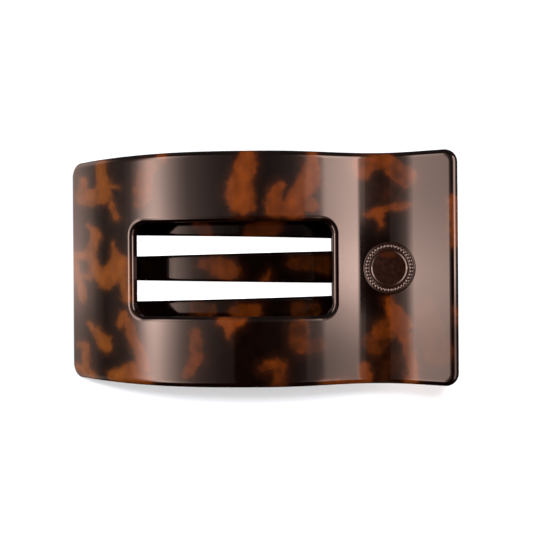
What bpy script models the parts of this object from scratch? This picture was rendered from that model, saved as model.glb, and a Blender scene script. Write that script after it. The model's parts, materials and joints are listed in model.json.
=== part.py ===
"""A wide, curved hair clip: a moulded front plate with a window and a thumb tab, a three-tined
fork hinged behind it on a steel pin, a torsion spring that keeps the jaws shut, and a badge.

+X runs from the jaws to the thumb tabs, +Y across the clip and +Z out of the plate's face. The
origin is on the surface that the clip lies on, in the middle of its box. Metres throughout.
"""

import math

import bmesh
import bpy
from mathutils import Matrix, Vector

MM = 0.001

# The pin's axis runs along Y through this point, and everything else hangs from it.
HINGE_X = 28.58 * MM
HINGE_Z = 10.56 * MM

# Front plate. Its outer face follows arcs and straights from the free end to the thumb tab.
# A slope is the face's angle there, in degrees, uphill towards +X.
PLATE_THICKNESS = 2.6 * MM
PLATE_EDGE_WIDTH = 1.6 * MM
PLATE_EDGE_DEPTH = 1.2 * MM
WINDOW_EDGE_WIDTH = 1.2 * MM
PLATE_HALF_WIDTH = 25.75 * MM
PLATE_START_X = -43.78 * MM
PLATE_START_Z = 1.15 * MM
PLATE_START_SLOPE = 52.4
PLATE_PATH = (
    ("line", 0.66 * MM),
    ("arc", 49.5 * MM, 15.3),
    ("arc", 66.0 * MM, -12.9),
    ("line", 7.15 * MM),
    ("arc", 19.35 * MM, 24.3),
    ("line", 9.40 * MM),
)
PLATE_END_CORNER = 3.2 * MM
PLATE_TAB_CORNER = 2.9 * MM
JAW_TAPER = 0.58 * MM
JAW_TAPER_FROM_X = -10.02 * MM
JAW_TAPER_LENGTH = 25.6 * MM
WAIST_DEPTH = 0.36 * MM
WAIST_X = 24.98 * MM
WAIST_REACH = 23.0 * MM

# Window, measured on the outer face.
WINDOW_LEFT_X = -27.85 * MM
WINDOW_RIGHT_X = 16.64 * MM
WINDOW_HALF_WIDTH = 10.35 * MM
WINDOW_CORNER = 2.8 * MM

# Fork. Its face towards the plate follows this path from the tips of the tines to the tab.
FORK_THICKNESS = 2.2 * MM
FORK_EDGE_WIDTH = 0.7 * MM
FORK_EDGE_DEPTH = 0.7 * MM
FORK_START_X = -39.5 * MM
FORK_START_Z = 2.172 * MM
FORK_START_SLOPE = 2.3
FORK_PATH = (
    ("arc", 76.0 * MM, 17.9),
    ("arc", 66.0 * MM, -9.3),
    ("line", 18.2 * MM),
    ("arc", 85.0 * MM, -18.5),
)
FORK_TIP_HALF_WIDTH = 14.55 * MM
FORK_HALF_WIDTH = 18.0 * MM
FORK_TAB_HALF_WIDTH = 21.0 * MM
FORK_TAB_CORNER = 5.0 * MM
TAB_WIDENS_BEFORE_HINGE = 2.0 * MM
TAB_WIDENS_OVER = 8.0 * MM
TINE_TIP_ROUND = 1.7 * MM
OUTER_TINE_TIP_ROUND = 3.2 * MM
# The slots' edges are straight lines that draw together towards the hinge.
SLOT_NARROW_X = 21.48 * MM
SLOT_INNER_AT_HINGE = 3.75 * MM
SLOT_OUTER_AT_HINGE = 6.49 * MM
SLOT_INNER_RISE = 0.0190
SLOT_OUTER_FALL = 0.0235

# Hinge. The fork's lugs stand inside the plate's, with the spring between them. The fork has
# some end play on the pin and lies to the +Y side of it.
PIN_RADIUS = 1.3 * MM
PIN_HEAD_RADIUS = 2.3 * MM
PIN_HEAD_HEIGHT = 0.9 * MM
PIN_HEAD_CHAMFER = 0.3 * MM
BORE_RADIUS = 1.6 * MM
FIT_GAP = 0.3 * MM
FORK_SIDE_SHIFT = 0.3 * MM
LUG_RADIUS = 3.5 * MM
LUG_ROOT_REACH = 5.0 * MM
LUG_THICKNESS = 2.3 * MM
LUG_EDGE_ROUND = 0.35 * MM
LUG_ROOT_PART = 0.6
FORK_LUG_INNER_Y = 5.0 * MM
PLATE_LUG_INNER_Y = FORK_LUG_INNER_Y + LUG_THICKNESS + FIT_GAP + FORK_SIDE_SHIFT
PIN_HALF_SHANK = PLATE_LUG_INNER_Y + LUG_THICKNESS + FIT_GAP

# Spring.
WIRE_RADIUS = 0.55 * MM
COIL_RADIUS = 2.6 * MM
COIL_PITCH = 1.35 * MM
COIL_WHOLE_TURNS = 5
UPPER_LEG_SLOPE = 24.3
LOWER_LEG_SLOPE = -20.0
LEG_LENGTH = 11.6 * MM
FOOT_LENGTH = 2.6 * MM
FOOT_BEND = 1.1 * MM

# Badge, pressed into a round seat in the valley of the plate, above the pin.
BADGE_X = 28.94 * MM
BADGE_RADIUS = 5.70 * MM
BADGE_HEIGHT_OVER_FACE = 0.9 * MM
BADGE_SEAT_DEPTH = 0.9 * MM
BADGE_RING_WIDTH = 1.75 * MM
BADGE_DISH_DEPTH = 0.45 * MM
BADGE_RIM_ROUND = 0.35 * MM
SEAT_TOOL_HEIGHT = 4.0 * MM

# How finely the sheets, the turned pieces and the wire are divided.
STATION_SPACING = 2.6 * MM
STATION_TURN = 3.2
STATION_CLEARANCE = 1.0 * MM
EDGE_SEGMENTS = 3
LUG_ARC_STEPS = 12
BORE_SEGMENTS = 32
PIN_SEGMENTS = 28
BADGE_SEGMENTS = 48
COIL_STEPS_PER_TURN = 16
LEG_STEPS = 4
SHARP_ANGLE = 40.0
SAME_PLACE = 1e-7
MERGE_DISTANCE = 1e-6

DARK_TORTOISE = (0.030, 0.009, 0.004, 1.0)
BADGE_BROWN = (0.034, 0.011, 0.006, 1.0)
STEEL = (0.56, 0.56, 0.58, 1.0)


class Path:
    """A curve in the XZ plane made of arcs and straights, read by its length."""

    def __init__(self, start_x, start_z, start_slope, pieces):
        self.pieces = []
        angle = math.radians(start_slope)
        x, z, travelled = start_x, start_z, 0.0
        for piece in pieces:
            if piece[0] == "line":
                length, turn = piece[1], 0.0
            else:
                turn = math.radians(piece[2]) - angle
                length = piece[1] * abs(turn)
            self.pieces.append((travelled, length, x, z, angle, turn))
            x, z = self._along(x, z, angle, turn, length, length)
            angle += turn
            travelled += length
        self.length = travelled

    @staticmethod
    def _along(x, z, angle, turn, length, distance):
        if turn == 0.0:
            return x + distance * math.cos(angle), z + distance * math.sin(angle)
        radius = length / turn
        now = angle + turn * distance / length
        new_x = x + radius * (math.sin(now) - math.sin(angle))
        new_z = z - radius * (math.cos(now) - math.cos(angle))
        return new_x, new_z

    def at(self, distance):
        """The point that far along, and the slope there in radians."""
        for start, length, x, z, angle, turn in reversed(self.pieces):
            if distance >= start or start == 0.0:
                here = distance - start
                px, pz = self._along(x, z, angle, turn, length, here)
                return px, pz, angle + turn * here / length

    def distance_at_x(self, x):
        """How far along the path its X is this, by halving."""
        low, high = 0.0, self.length
        for _ in range(50):
            middle = (low + high) / 2
            if self.at(middle)[0] < x:
                low = middle
            else:
                high = middle
        return (low + high) / 2

    def offset(self, distance, height):
        """The point that far along and that far out of the face, as (x, z)."""
        x, z, slope = self.at(distance)
        return x - height * math.sin(slope), z + height * math.cos(slope)


plate_path = Path(PLATE_START_X, PLATE_START_Z, PLATE_START_SLOPE, PLATE_PATH)
fork_path = Path(FORK_START_X, FORK_START_Z, FORK_START_SLOPE, FORK_PATH)


def clear_scene():
    for thing in list(bpy.data.objects):
        bpy.data.objects.remove(thing, do_unlink=True)


def make_material(name, colour, roughness, metallic):
    material = bpy.data.materials.new(name)
    material.use_nodes = True
    shader = material.node_tree.nodes["Principled BSDF"]
    shader.inputs["Base Color"].default_value = colour
    shader.inputs["Roughness"].default_value = roughness
    shader.inputs["Metallic"].default_value = metallic
    material.diffuse_color = colour
    return material


def add_object(name, bm, material=None, origin=(0.0, 0.0, 0.0)):
    """An object from a mesh made in world places, with its origin where it is wanted."""
    bmesh.ops.translate(bm, verts=bm.verts, vec=-Vector(origin))
    bmesh.ops.recalc_face_normals(bm, faces=bm.faces)
    mesh = bpy.data.meshes.new(name)
    bm.to_mesh(mesh)
    bm.free()
    mesh.shade_smooth()
    mesh.set_sharp_from_angle(angle=math.radians(SHARP_ANGLE))
    thing = bpy.data.objects.new(name, mesh)
    thing.location = origin
    bpy.context.scene.collection.objects.link(thing)
    if material:
        mesh.materials.append(material)
    return thing


def apply_shape(thing, tool, operation):
    """Adds or takes away a hidden shape."""
    tool.hide_render = True
    tool.display_type = "WIRE"
    step = thing.modifiers.new(tool.name, "BOOLEAN")
    step.operation = operation
    step.solver = "EXACT"
    step.object = tool


def corner_inset(distance, radius):
    """How far a rounded corner draws an edge in, at this distance from the end."""
    if distance >= radius:
        return 0.0
    return radius - math.sqrt(max(radius**2 - (radius - distance) ** 2, 0.0))


def corner_stations(end, radius, direction, steps=5):
    """Places along the length where a rounded corner's points lie."""
    angles = [math.pi / 2 * k / steps for k in range(steps + 1)]
    return [end + direction * radius * (1 - math.cos(a)) for a in angles]


def bending_stations(path):
    """Places along a path, close enough for a smooth bend."""
    places = []
    for start, length, _, _, _, turn in path.pieces:
        by_turn = math.ceil(abs(math.degrees(turn)) / STATION_TURN)
        count = max(1, by_turn, math.ceil(length / STATION_SPACING))
        places += [start + length * k / count for k in range(count)]
    return places + [path.length]


def merged_stations(fixed, free, walls, reach):
    """The fixed places, and the free ones that are clear of them and of each wall's rounding."""
    kept = sorted(set(fixed))
    for place in free:
        near_wall = any(abs(place - wall) < reach + STATION_CLEARANCE / 4 for wall in walls)
        if not near_wall and all(abs(place - other) > STATION_CLEARANCE for other in kept):
            kept.append(place)
    return sorted(kept)


def verts_between(column, low, high):
    """The vertices of one station that lie on a band, from its low edge to its high one."""
    return [v for y, v in column.items() if low - SAME_PLACE <= y <= high + SAME_PLACE]


def bent_sheet(path, stations, bands_between, thickness, edge_width, edge_depth, hole=None):
    """A flat blank of the given bands, thickened, rounded along its edges and bent to a path.

    bands_between(place, next_place) gives the (low, high, next_low, next_high) of each band of
    material between two neighbouring stations. The edges are rounded on a thicker blank, which
    is then flattened, so that the rounding can be wider than it is deep. A hole whose rim has a
    rounding of its own is (low, high, half_width, edge_width).
    """
    stretch = edge_width / edge_depth
    bm = bmesh.new()
    columns = [bands_between(a, b) for a, b in zip(stations, stations[1:])]
    across = [set() for _ in stations]
    for k, bands in enumerate(columns):
        for low, high, next_low, next_high in bands:
            across[k].update((round(low, 8), round(high, 8)))
            across[k + 1].update((round(next_low, 8), round(next_high, 8)))
    grid = [
        {y: bm.verts.new((place, y, 0.0)) for y in sorted(ys)}
        for place, ys in zip(stations, across)
    ]
    for k, bands in enumerate(columns):
        for low, high, next_low, next_high in bands:
            near = verts_between(grid[k], low, high)
            far = verts_between(grid[k + 1], next_low, next_high)
            bm.faces.new(near[::-1] + far)
    made = bmesh.ops.extrude_face_region(bm, geom=list(bm.faces))
    lowered = [g for g in made["geom"] if isinstance(g, bmesh.types.BMVert)]
    bmesh.ops.translate(bm, verts=lowered, vec=(0.0, 0.0, -thickness * stretch))
    bmesh.ops.recalc_face_normals(bm, faces=bm.faces)
    rims = [e for e in bm.edges if is_rim(e)]
    inner = [e for e in rims if hole is not None and in_hole(e, hole)]
    round_edges(bm, [e for e in rims if e not in inner], edge_width)
    if inner:
        round_edges(bm, inner, hole[3])
    for vert in bm.verts:
        x, z = path.offset(vert.co.x, vert.co.z / stretch)
        vert.co = (x, vert.co.y, z)
    return bm


def round_edges(bm, edges, width):
    bmesh.ops.bevel(
        bm,
        geom=edges,
        offset=width,
        offset_type="OFFSET",
        segments=EDGE_SEGMENTS,
        profile=0.5,
        affect="EDGES",
    )


def in_hole(edge, hole):
    """True where both ends of an edge lie on the wall of a hole in the blank."""
    low, high, half_width, _ = hole
    return all(
        low - SAME_PLACE <= v.co.x <= high + SAME_PLACE
        and abs(v.co.y) <= half_width + SAME_PLACE
        for v in edge.verts
    )


def is_rim(edge):
    """True where a flat face of the blank meets one of its walls."""
    tilts = sorted(abs(face.normal.z) for face in edge.link_faces)
    return len(tilts) == 2 and tilts[0] < 0.1 and tilts[1] > 0.9


def plate_half_width(x):
    """Half the plate's width: full over the dome, less at the free end and over the hinge."""
    half = PLATE_HALF_WIDTH
    past = max(JAW_TAPER_FROM_X - x, 0.0) / JAW_TAPER_LENGTH
    half -= JAW_TAPER * past**2
    from_waist = min(abs(x - WAIST_X) / WAIST_REACH, 1.0)
    half -= WAIST_DEPTH * math.cos(from_waist * math.pi / 2) ** 2
    return half


def plate_blank():
    left = plate_path.distance_at_x(WINDOW_LEFT_X)
    right = plate_path.distance_at_x(WINDOW_RIGHT_X)
    fixed = corner_stations(0.0, PLATE_END_CORNER, 1)
    fixed += corner_stations(plate_path.length, PLATE_TAB_CORNER, -1)
    fixed += corner_stations(left, WINDOW_CORNER, 1)
    fixed += corner_stations(right, WINDOW_CORNER, -1)
    free = bending_stations(plate_path)
    stations = merged_stations(fixed, free, (left, right), WINDOW_EDGE_WIDTH)

    def outer(place):
        half = plate_half_width(plate_path.at(place)[0])
        half -= corner_inset(place, PLATE_END_CORNER)
        return half - corner_inset(plate_path.length - place, PLATE_TAB_CORNER)

    def window(place):
        inset = corner_inset(place - left, WINDOW_CORNER)
        return WINDOW_HALF_WIDTH - inset - corner_inset(right - place, WINDOW_CORNER)

    def bands(place, following):
        edge, next_edge = outer(place), outer(following)
        if following <= left or place >= right:
            return [(-edge, edge, -next_edge, next_edge)]
        hole, next_hole = window(place), window(following)
        return [
            (-edge, -hole, -next_edge, -next_hole),
            (hole, edge, next_hole, next_edge),
        ]

    hole = (left, right, WINDOW_HALF_WIDTH, WINDOW_EDGE_WIDTH)
    return bent_sheet(
        plate_path, stations, bands, PLATE_THICKNESS, PLATE_EDGE_WIDTH, PLATE_EDGE_DEPTH, hole
    )


def smooth_step(value):
    value = min(max(value, 0.0), 1.0)
    return value * value * (3 - 2 * value)


def fork_half_width(x):
    """Half the fork's width: widening from the tips to the hinge, and again into the tab."""
    along = (x - FORK_START_X) / (SLOT_NARROW_X - FORK_START_X)
    half = FORK_TIP_HALF_WIDTH + (FORK_HALF_WIDTH - FORK_TIP_HALF_WIDTH) * min(along, 1.0)
    tab = smooth_step((x - HINGE_X + TAB_WIDENS_BEFORE_HINGE) / TAB_WIDENS_OVER)
    return half + (FORK_TAB_HALF_WIDTH - FORK_HALF_WIDTH) * tab


def fork_blank():
    slot_end = fork_path.distance_at_x(SLOT_NARROW_X)
    end_round = (SLOT_OUTER_AT_HINGE - SLOT_INNER_AT_HINGE) / 2
    middle = (SLOT_OUTER_AT_HINGE + SLOT_INNER_AT_HINGE) / 2
    fixed = corner_stations(0.0, TINE_TIP_ROUND, 1)
    fixed += corner_stations(0.0, OUTER_TINE_TIP_ROUND, 1, 6)
    fixed += corner_stations(slot_end, end_round, -1)
    fixed += corner_stations(fork_path.length, FORK_TAB_CORNER, -1, 7)
    free = bending_stations(fork_path)
    stations = merged_stations(fixed, free, (slot_end,), FORK_EDGE_WIDTH)

    def outer(place):
        half = fork_half_width(fork_path.at(place)[0])
        half -= corner_inset(place, OUTER_TINE_TIP_ROUND)
        return half - corner_inset(fork_path.length - place, FORK_TAB_CORNER)

    def slot_inner(place):
        before = SLOT_NARROW_X - fork_path.at(place)[0]
        return SLOT_INNER_AT_HINGE - SLOT_INNER_RISE * before

    def slot_outer(place):
        before = SLOT_NARROW_X - fork_path.at(place)[0]
        return SLOT_OUTER_AT_HINGE + SLOT_OUTER_FALL * before

    def centre_edge(place):
        tip = corner_inset(place, TINE_TIP_ROUND)
        closing = corner_inset(slot_end - place, end_round)
        return min(slot_inner(place) - tip + closing, middle)

    def side_edge(place):
        tip = corner_inset(place, TINE_TIP_ROUND)
        closing = corner_inset(slot_end - place, end_round)
        return max(slot_outer(place) + tip - closing, middle)

    def bands(place, following):
        edge, next_edge = outer(place), outer(following)
        if place >= slot_end:
            return [(-edge, edge, -next_edge, next_edge)]
        centre, next_centre = centre_edge(place), centre_edge(following)
        side, next_side = side_edge(place), side_edge(following)
        return [
            (-edge, -side, -next_edge, -next_side),
            (-centre, centre, -next_centre, next_centre),
            (side, edge, next_side, next_edge),
        ]

    return bent_sheet(
        fork_path, stations, bands, FORK_THICKNESS, FORK_EDGE_WIDTH, FORK_EDGE_DEPTH
    )


def lug_pair(name, path, root_height, inner_y, side, middle_y):
    """Two rounded lugs around the pin's axis, rooted in a moulding above (1) or below (-1)."""
    ends = [
        path.offset(path.distance_at_x(HINGE_X + reach), root_height)
        for reach in (-LUG_ROOT_REACH, LUG_ROOT_REACH)
    ]
    outline = [ends[0]]
    for k in range(LUG_ARC_STEPS + 1):
        angle = math.pi + math.pi * k / LUG_ARC_STEPS
        x = HINGE_X + LUG_RADIUS * math.cos(angle)
        z = HINGE_Z + side * LUG_RADIUS * math.sin(angle)
        outline.append((x, z))
    outline.append(ends[1])
    bm = bmesh.new()
    for sign in (-1, 1):
        start = middle_y + sign * inner_y
        verts = [bm.verts.new((x, start, z)) for x, z in outline]
        face = bm.faces.new(verts)
        made = bmesh.ops.extrude_face_region(bm, geom=[face])
        moved = [g for g in made["geom"] if isinstance(g, bmesh.types.BMVert)]
        bmesh.ops.translate(bm, verts=moved, vec=(0.0, sign * LUG_THICKNESS, 0.0))
    bmesh.ops.recalc_face_normals(bm, faces=bm.faces)
    rims = [
        e
        for e in bm.edges
        if sorted(abs(f.normal.y) > 0.9 for f in e.link_faces) == [False, True]
    ]
    bmesh.ops.bevel(
        bm, geom=rims, offset=LUG_EDGE_ROUND, segments=2, profile=0.5, affect="EDGES"
    )
    return add_object(name, bm)


def turned(profile, segments, matrix):
    """A closed body turned about Z from (radius, height) points, the first and last on the axis."""
    bm = bmesh.new()
    verts = [bm.verts.new((radius, 0.0, height)) for radius, height in profile]
    edges = [bm.edges.new(pair) for pair in zip(verts, verts[1:])]
    bmesh.ops.spin(
        bm,
        geom=verts + edges,
        cent=(0.0, 0.0, 0.0),
        axis=(0.0, 0.0, 1.0),
        angle=math.tau,
        steps=segments,
        use_merge=True,
    )
    bmesh.ops.remove_doubles(bm, verts=bm.verts, dist=MERGE_DISTANCE)
    bmesh.ops.transform(bm, matrix=matrix, verts=bm.verts)
    return bm


def along_y():
    """Turns Z into Y and moves to the pin's axis."""
    move = Matrix.Translation((HINGE_X, 0.0, HINGE_Z))
    return move @ Matrix.Rotation(-math.pi / 2, 4, "X")


def bore_tool(name, radius, half_length):
    profile = [(0.0, -half_length), (radius, -half_length), (radius, half_length)]
    profile.append((0.0, half_length))
    return add_object(name, turned(profile, BORE_SEGMENTS, along_y()))


def make_plate(material):
    hinge = (HINGE_X, 0.0, HINGE_Z)
    plate = add_object("front_plate", plate_blank(), material, hinge)
    root = -LUG_ROOT_PART * PLATE_THICKNESS
    lugs = lug_pair("plate_lugs_shape", plate_path, root, PLATE_LUG_INNER_Y, 1, 0.0)
    apply_shape(plate, lugs, "UNION")
    bore = bore_tool("plate_bore_shape", BORE_RADIUS, PIN_HALF_SHANK)
    apply_shape(plate, bore, "DIFFERENCE")
    seat = [
        (0.0, -BADGE_SEAT_DEPTH),
        (BADGE_RADIUS + FIT_GAP, -BADGE_SEAT_DEPTH),
        (BADGE_RADIUS + FIT_GAP, SEAT_TOOL_HEIGHT),
        (0.0, SEAT_TOOL_HEIGHT),
    ]
    bm = turned(seat, BADGE_SEGMENTS, badge_matrix())
    tool = add_object("badge_seat_shape", bm)
    apply_shape(plate, tool, "DIFFERENCE")
    return plate


def make_fork(material):
    blank = fork_blank()
    bmesh.ops.translate(blank, verts=blank.verts, vec=(0.0, FORK_SIDE_SHIFT, 0.0))
    fork = add_object("back_fork", blank, material, (HINGE_X, 0.0, HINGE_Z))
    root = -LUG_ROOT_PART * FORK_THICKNESS
    middle = FORK_SIDE_SHIFT
    lugs = lug_pair("fork_lugs_shape", fork_path, root, FORK_LUG_INNER_Y, -1, middle)
    apply_shape(fork, lugs, "UNION")
    bore = bore_tool("fork_bore_shape", BORE_RADIUS, PLATE_LUG_INNER_Y)
    apply_shape(fork, bore, "DIFFERENCE")
    return fork


def make_pin(material):
    """A headed pin, its other end spread into a second head."""
    crown = PIN_HALF_SHANK + PIN_HEAD_HEIGHT
    rim = PIN_HEAD_CHAMFER
    profile = [
        (0.0, -crown),
        (PIN_HEAD_RADIUS - 2 * rim, -crown),
        (PIN_HEAD_RADIUS, -crown + rim),
        (PIN_HEAD_RADIUS, -PIN_HALF_SHANK),
        (PIN_RADIUS, -PIN_HALF_SHANK),
        (PIN_RADIUS, PIN_HALF_SHANK),
        (PIN_HEAD_RADIUS, PIN_HALF_SHANK),
        (PIN_HEAD_RADIUS, crown - rim),
        (PIN_HEAD_RADIUS - 2 * rim, crown),
        (0.0, crown),
    ]
    origin = (HINGE_X, 0.0, HINGE_Z)
    bm = turned(profile, PIN_SEGMENTS, along_y())
    return add_object("hinge_pin", bm, material, origin)


def leg_points(slope, side, y, inward):
    """One leg of the spring, from where it leaves the coil to the end of its turned foot."""
    angle = math.radians(slope)
    along = Vector((math.cos(angle), 0.0, math.sin(angle)))
    away = Vector((-math.sin(angle), 0.0, math.cos(angle))) * side
    across = Vector((0.0, inward, 0.0))
    start = Vector((HINGE_X, y, HINGE_Z)) + away * COIL_RADIUS
    straight = LEG_LENGTH - FOOT_BEND
    steps = range(1, LEG_STEPS + 1)
    points = [start + along * straight * k / LEG_STEPS for k in steps]
    centre = points[-1] + across * FOOT_BEND
    for k in steps:
        turn = math.pi / 2 * k / LEG_STEPS
        reach = along * math.sin(turn) - across * math.cos(turn)
        points.append(centre + reach * FOOT_BEND)
    points.append(points[-1] + across * (FOOT_LENGTH - FOOT_BEND))
    return points


def spring_points():
    """The wire's centreline: upper leg, coil about the pin, lower leg."""
    first = math.radians(90 + UPPER_LEG_SLOPE)
    last = math.radians(270 + LOWER_LEG_SLOPE + 360 * COIL_WHOLE_TURNS)
    half = COIL_PITCH * (last - first) / math.tau / 2
    steps = round(COIL_STEPS_PER_TURN * (last - first) / math.tau)
    coil = []
    for k in range(steps + 1):
        turn = first + (last - first) * k / steps
        x = HINGE_X + COIL_RADIUS * math.cos(turn)
        z = HINGE_Z + COIL_RADIUS * math.sin(turn)
        coil.append(Vector((x, -half + 2 * half * k / steps, z)))
    upper = leg_points(UPPER_LEG_SLOPE, 1, -half, 1)
    lower = leg_points(LOWER_LEG_SLOPE, -1, half, -1)
    return upper[::-1] + coil + lower


def make_spring(material):
    curve = bpy.data.curves.new("torsion_spring", "CURVE")
    curve.dimensions = "3D"
    curve.bevel_depth = WIRE_RADIUS
    curve.bevel_resolution = 2
    curve.use_fill_caps = True
    points = spring_points()
    spline = curve.splines.new("POLY")
    spline.points.add(len(points) - 1)
    centre = Vector((HINGE_X, 0.0, HINGE_Z))
    for place, point in zip(spline.points, points):
        place.co = (*(point - centre), 1.0)
    curve.materials.append(material)
    spring = bpy.data.objects.new("torsion_spring", curve)
    spring.location = centre
    bpy.context.scene.collection.objects.link(spring)
    return spring


def badge_matrix():
    """Puts the badge's axis square to the plate's face in the valley."""
    x, z, slope = plate_path.at(plate_path.distance_at_x(BADGE_X))
    return Matrix.Translation((x, 0.0, z)) @ Matrix.Rotation(-slope, 4, "Y")


def make_badge(material):
    top = BADGE_HEIGHT_OVER_FACE
    floor = -BADGE_SEAT_DEPTH + FIT_GAP
    rim = BADGE_RIM_ROUND
    inner = BADGE_RADIUS - BADGE_RING_WIDTH
    profile = [
        (0.0, floor),
        (BADGE_RADIUS, floor),
        (BADGE_RADIUS, top - rim),
        (BADGE_RADIUS - rim / 3, top - rim / 3),
        (BADGE_RADIUS - rim, top),
        (inner + rim, top),
        (inner, top - BADGE_DISH_DEPTH),
        (0.0, top - BADGE_DISH_DEPTH),
    ]
    bm = turned(profile, BADGE_SEGMENTS, badge_matrix())
    return add_object("medallion", bm, material)


def build():
    clear_scene()
    axis = bpy.data.objects.new("hinge_axis", None)
    axis.location = (HINGE_X, 0.0, HINGE_Z)
    bpy.context.scene.collection.objects.link(axis)
    tortoise = make_material("tortoise_plastic", DARK_TORTOISE, 0.12, 0.0)
    fork_plastic = make_material("fork_plastic", DARK_TORTOISE, 0.14, 0.0)
    badge_plastic = make_material("badge_plastic", BADGE_BROWN, 0.3, 0.0)
    pin_steel = make_material("pin_steel", STEEL, 0.28, 1.0)
    spring_steel = make_material("spring_steel", STEEL, 0.3, 1.0)
    make_fork(fork_plastic)
    make_spring(spring_steel)
    moving = [make_plate(tortoise), make_pin(pin_steel), make_badge(badge_plastic)]
    bpy.context.view_layer.update()
    for thing in moving:
        thing.parent = axis
        thing.matrix_parent_inverse = axis.matrix_world.inverted()


build()
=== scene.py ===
"""The looks of a tortoiseshell hair clip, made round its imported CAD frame.

Each moulding is made again with finer bends and rounder rims than its CAD solid, at the same
sizes. Metres throughout, in the CAD's frame: +X to the thumb tabs, +Z out of the plate's face.
"""

import json
import math

import bmesh
import bpy
from mathutils import Matrix, Vector
from mathutils.kdtree import KDTree

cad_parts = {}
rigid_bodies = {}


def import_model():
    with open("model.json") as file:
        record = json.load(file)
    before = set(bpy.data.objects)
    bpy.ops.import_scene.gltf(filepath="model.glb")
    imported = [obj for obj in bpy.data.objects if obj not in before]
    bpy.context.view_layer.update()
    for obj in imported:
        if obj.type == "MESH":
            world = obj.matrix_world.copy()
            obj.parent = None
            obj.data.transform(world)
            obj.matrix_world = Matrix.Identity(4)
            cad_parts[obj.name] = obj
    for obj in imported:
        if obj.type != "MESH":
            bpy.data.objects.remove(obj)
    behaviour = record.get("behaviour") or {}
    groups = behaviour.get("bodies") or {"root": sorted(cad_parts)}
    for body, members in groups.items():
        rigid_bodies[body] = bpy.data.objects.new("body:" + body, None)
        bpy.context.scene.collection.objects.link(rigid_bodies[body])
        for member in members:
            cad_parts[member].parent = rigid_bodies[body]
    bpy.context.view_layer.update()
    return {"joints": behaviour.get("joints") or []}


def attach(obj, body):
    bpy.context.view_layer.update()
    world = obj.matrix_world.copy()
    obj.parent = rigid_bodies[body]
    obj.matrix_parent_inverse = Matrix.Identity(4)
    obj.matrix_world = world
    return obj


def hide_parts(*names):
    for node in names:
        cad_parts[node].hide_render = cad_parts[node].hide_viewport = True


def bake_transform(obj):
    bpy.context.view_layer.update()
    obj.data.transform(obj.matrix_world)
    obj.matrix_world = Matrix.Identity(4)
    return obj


MM = 0.001

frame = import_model()

# The hinge comes from the record, and the sizes below are the CAD's own.
HINGE = Vector(frame["joints"][0]["pos_m"])
PLATE_BODY = frame["joints"][0]["child"]
FORK_BODY = frame["joints"][0]["parent"]

PLATE_THICKNESS = 2.6 * MM
PLATE_EDGE_WIDTH = 1.6 * MM
PLATE_EDGE_DEPTH = 1.2 * MM
WINDOW_EDGE_WIDTH = 1.2 * MM
PLATE_HALF_WIDTH = 25.75 * MM
PLATE_START = (-43.78 * MM, 1.15 * MM, 52.4)
PLATE_PATH = (
    ("line", 0.66 * MM),
    ("arc", 49.5 * MM, 15.3),
    ("arc", 66.0 * MM, -12.9),
    ("line", 7.15 * MM),
    ("arc", 19.35 * MM, 24.3),
    ("line", 9.40 * MM),
)
PLATE_END_CORNER = 3.2 * MM
PLATE_TAB_CORNER = 2.9 * MM
JAW_TAPER = 0.58 * MM
JAW_TAPER_FROM_X = -10.02 * MM
JAW_TAPER_LENGTH = 25.6 * MM
WAIST_DEPTH = 0.36 * MM
WAIST_X = 24.98 * MM
WAIST_REACH = 23.0 * MM
WINDOW_LEFT_X = -27.85 * MM
WINDOW_RIGHT_X = 16.64 * MM
WINDOW_HALF_WIDTH = 10.35 * MM
WINDOW_CORNER = 2.8 * MM

FORK_THICKNESS = 2.2 * MM
FORK_EDGE_WIDTH = 0.7 * MM
FORK_EDGE_DEPTH = 0.7 * MM
FORK_START = (-39.5 * MM, 2.172 * MM, 2.3)
FORK_PATH = (
    ("arc", 76.0 * MM, 17.9),
    ("arc", 66.0 * MM, -9.3),
    ("line", 18.2 * MM),
    ("arc", 85.0 * MM, -18.5),
)
FORK_TIP_HALF_WIDTH = 14.55 * MM
FORK_HALF_WIDTH = 18.0 * MM
FORK_TAB_HALF_WIDTH = 21.0 * MM
FORK_TAB_CORNER = 5.0 * MM
TAB_WIDENS_BEFORE_HINGE = 2.0 * MM
TAB_WIDENS_OVER = 8.0 * MM
TINE_TIP_ROUND = 1.7 * MM
OUTER_TINE_TIP_ROUND = 3.2 * MM
SLOT_NARROW_X = 21.48 * MM
SLOT_INNER_AT_HINGE = 3.75 * MM
SLOT_OUTER_AT_HINGE = 6.49 * MM
SLOT_INNER_RISE = 0.0190
SLOT_OUTER_FALL = 0.0235
FORK_SIDE_SHIFT = 0.3 * MM

PIN_RADIUS = 1.3 * MM
PIN_HEAD_RADIUS = 2.3 * MM
PIN_HEAD_HEIGHT = 0.9 * MM
BORE_RADIUS = 1.6 * MM
LUG_RADIUS = 3.5 * MM
LUG_ROOT_REACH = 5.0 * MM
LUG_THICKNESS = 2.3 * MM
LUG_EDGE_ROUND = 0.4 * MM
LUG_ROOT_PART = 0.6
FORK_LUG_INNER_Y = 5.0 * MM
PLATE_LUG_INNER_Y = 7.9 * MM
PIN_HALF_SHANK = 10.5 * MM

WIRE_RADIUS = 0.55 * MM
COIL_RADIUS = 2.6 * MM
COIL_PITCH = 1.35 * MM
COIL_WHOLE_TURNS = 5
UPPER_LEG_SLOPE = 24.3
LOWER_LEG_SLOPE = -20.0
LEG_LENGTH = 11.6 * MM
FOOT_LENGTH = 2.6 * MM
FOOT_BEND = 1.1 * MM

BADGE_X = 28.94 * MM
BADGE_RADIUS = 5.70 * MM
BADGE_HEIGHT = 0.9 * MM
BADGE_SEAT_DEPTH = 0.9 * MM
BADGE_RING_WIDTH = 1.75 * MM
BADGE_GAP = 0.3 * MM
SEAT_GAP = 0.07 * MM
SEAT_TOOL_TOP = 4.0 * MM

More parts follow.
